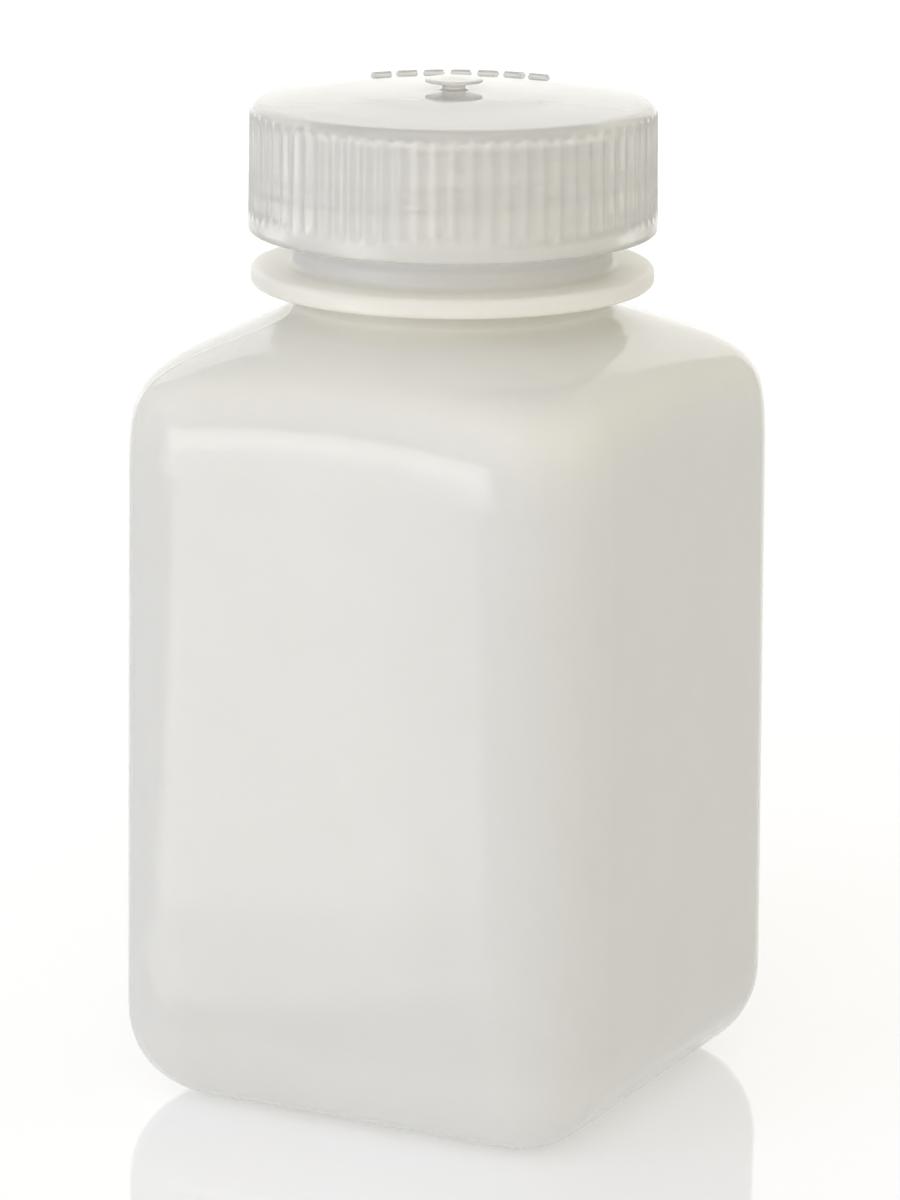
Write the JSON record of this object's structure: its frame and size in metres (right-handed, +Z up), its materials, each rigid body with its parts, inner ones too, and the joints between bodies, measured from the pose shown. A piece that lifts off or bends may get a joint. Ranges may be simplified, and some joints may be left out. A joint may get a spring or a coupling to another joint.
{
  "type": "reagent bottle",
  "caption": "Square wide-mouth translucent plastic reagent bottle with a domed shoulder, a neck flange and a ribbed screw cap that unscrews off the threaded neck.",
  "frame": {"origin": "centre of the base, on the surface that the bottle stands on", "axes": "+Z up along the axis of the neck and cap; +X and +Y square to two neighbouring side faces of the body"},
  "size_m": [0.0678, 0.0678, 0.1315],
  "materials": {
    "bottle_hdpe": "natural translucent high-density polyethylene, satin blow-moulded surface",
    "liner_foam": "white closed-cell polyethylene foam",
    "cap_pp": "natural translucent polypropylene, semi-gloss moulded surface"
  },
  "bodies": {
    "bottle": {"bottle": "bottle_hdpe"},
    "liner": {"seal_liner": "liner_foam"},
    "cap": {"screw_cap": "cap_pp"}
  },
  "joints": [
    {"name": "cap_lift", "type": "slide", "parent": "bottle", "child": "liner", "axis": [0, 0, 1], "range_m": [0, 0.014]},
    {"name": "cap_turn", "type": "hinge", "parent": "liner", "child": "cap", "pos_m": [0, 0, 0.119], "axis": [0, 0, 1], "range_deg": [0, 990]}
  ],
  "couplings": [
    {"joint": "cap_lift", "follows": "cap_turn", "m_per_rad": 0.00080851}
  ]
}
